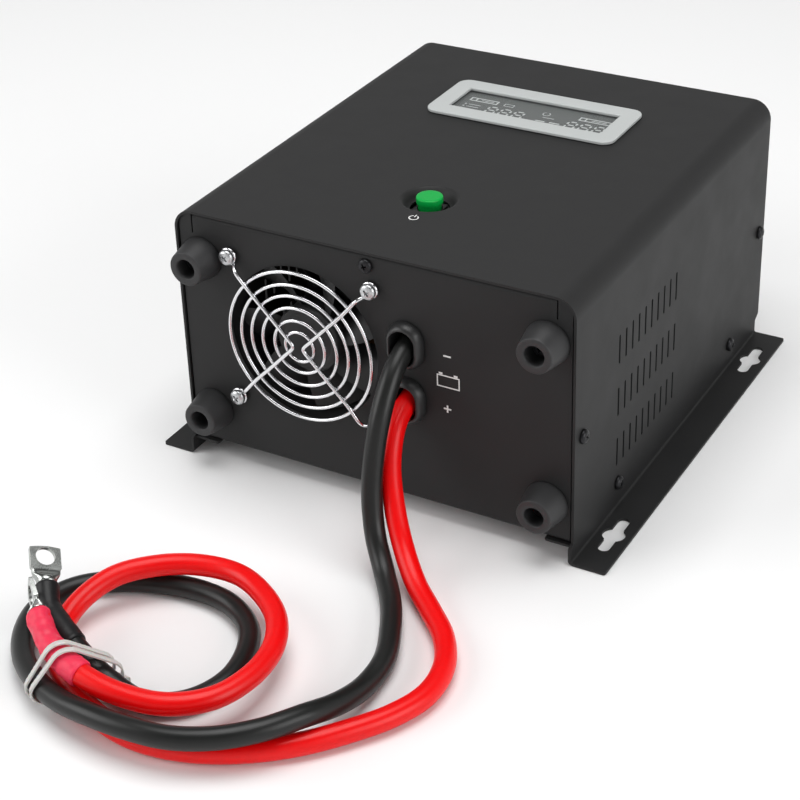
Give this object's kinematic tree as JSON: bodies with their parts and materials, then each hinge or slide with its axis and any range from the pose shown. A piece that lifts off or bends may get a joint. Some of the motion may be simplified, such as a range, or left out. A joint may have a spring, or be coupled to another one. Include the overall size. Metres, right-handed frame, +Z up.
{
  "type": "power inverter",
  "caption": "Sheet-steel power inverter case with a guarded cooling fan, battery leads with ring lugs, a top display and push button, rubber feet and slotted mounting flanges.",
  "frame": {"origin": "centre of the case's footprint, feet and rear fittings included, on the underside of the two mounting flanges", "axes": "+Z up from the flanges to the display side, +Y from the fan and cable end to the outlet end, +X across the case"},
  "size_m": [0.227, 0.4197, 0.1284],
  "materials": {
    "case_paint": "satin powder coat, fine texture",
    "foot_rubber": "satin",
    "black_screws": "black zinc, semi-gloss",
    "fan_plastic": "satin",
    "bright_wire": "bright plated",
    "bright_screws": "bright plated",
    "bushing_plastic": "glossy",
    "cable_black": "satin PVC",
    "cable_red": "satin PVC",
    "sleeve_black": "matte heat-shrink",
    "sleeve_red": "matte heat-shrink",
    "tinned_lug": "bright tinned copper",
    "tie_nylon": "natural nylon",
    "bezel_grey": "satin",
    "window_clear": "clear",
    "display_grey": "smooth",
    "board_green": "solder mask",
    "black_plastic": "satin",
    "button_green": "glossy",
    "pad_fibre": "matte fibre",
    "winding_tape": "varnished winding",
    "plain_steel": "plain",
    "heat_sink": "extruded",
    "capacitor_sleeve": "shrink sleeve",
    "brass": "turned",
    "breaker_white": "satin"
  },
  "bodies": {
    "case": {"case_cover": "case_paint", "chassis": "case_paint", "rubber_foot_1": "foot_rubber", "foot_screw_1": "black_screws", "rubber_foot_2": "foot_rubber", "foot_screw_2": "black_screws", "rubber_foot_3": "foot_rubber", "foot_screw_3": "black_screws", "rubber_foot_4": "foot_rubber", "foot_screw_4": "black_screws", "fan_frame": "fan_plastic", "fan_guard": "bright_wire", "bushing_black": "bushing_plastic", "bushing_red": "bushing_plastic", "battery_cable_black": "cable_black", "lug_sleeve_black": "sleeve_black", "ring_lug_black": "tinned_lug", "battery_cable_red": "cable_red", "lug_sleeve_red": "sleeve_red", "ring_lug_red": "tinned_lug", "cable_tie": "tie_nylon", "display_bezel": "bezel_grey", "display_window": "window_clear", "display_module": "display_grey", "display_board": "board_green", "switch_body": "black_plastic", "transformer_pad": "pad_fibre", "transformer_coil": "winding_tape", "transformer_clamp": "plain_steel", "transformer_bolt": "plain_steel", "main_board": "board_green", "heat_sink_left": "heat_sink", "heat_sink_right": "heat_sink", "capacitor_1": "capacitor_sleeve", "capacitor_2": "capacitor_sleeve", "relay": "black_plastic", "terminal_board": "board_green", "battery_terminal_black": "brass", "battery_terminal_red": "brass", "ac_outlet_1": "black_plastic", "ac_outlet_2": "black_plastic", "ac_inlet": "black_plastic", "breaker_body": "black_plastic", "breaker_nut": "plain_steel", "guard_screw_1": "bright_screws", "guard_screw_2": "bright_screws", "guard_screw_3": "bright_screws", "guard_screw_4": "bright_screws", "panel_screw": "black_screws", "cover_screw_1": "black_screws", "cover_screw_2": "black_screws", "cover_screw_3": "black_screws", "cover_screw_4": "black_screws", "cover_screw_5": "black_screws", "cover_screw_6": "black_screws", "cover_screw_7": "black_screws", "cover_screw_8": "black_screws"},
    "fan_rotor": {"fan_rotor": "fan_plastic"},
    "power_button": {"power_button": "button_green"},
    "breaker_button": {"breaker_button": "breaker_white"}
  },
  "joints": [
    {"name": "fan_spin", "type": "hinge", "parent": "case", "child": "fan_rotor", "pos_m": [-0.0335, -0.0932, 0.0735], "axis": [0, 1, 0], "continuous": true},
    {"name": "power_press", "type": "slide", "parent": "case", "child": "power_button", "axis": [0, 0, -1], "range_m": [0, 0.0023], "stiffness_N_per_m": 900, "springref_m": -0.0008},
    {"name": "breaker_press", "type": "slide", "parent": "case", "child": "breaker_button", "axis": [0, -1, 0], "range_m": [0, 0.0025], "stiffness_N_per_m": 900, "springref_m": -0.0008}
  ]
}
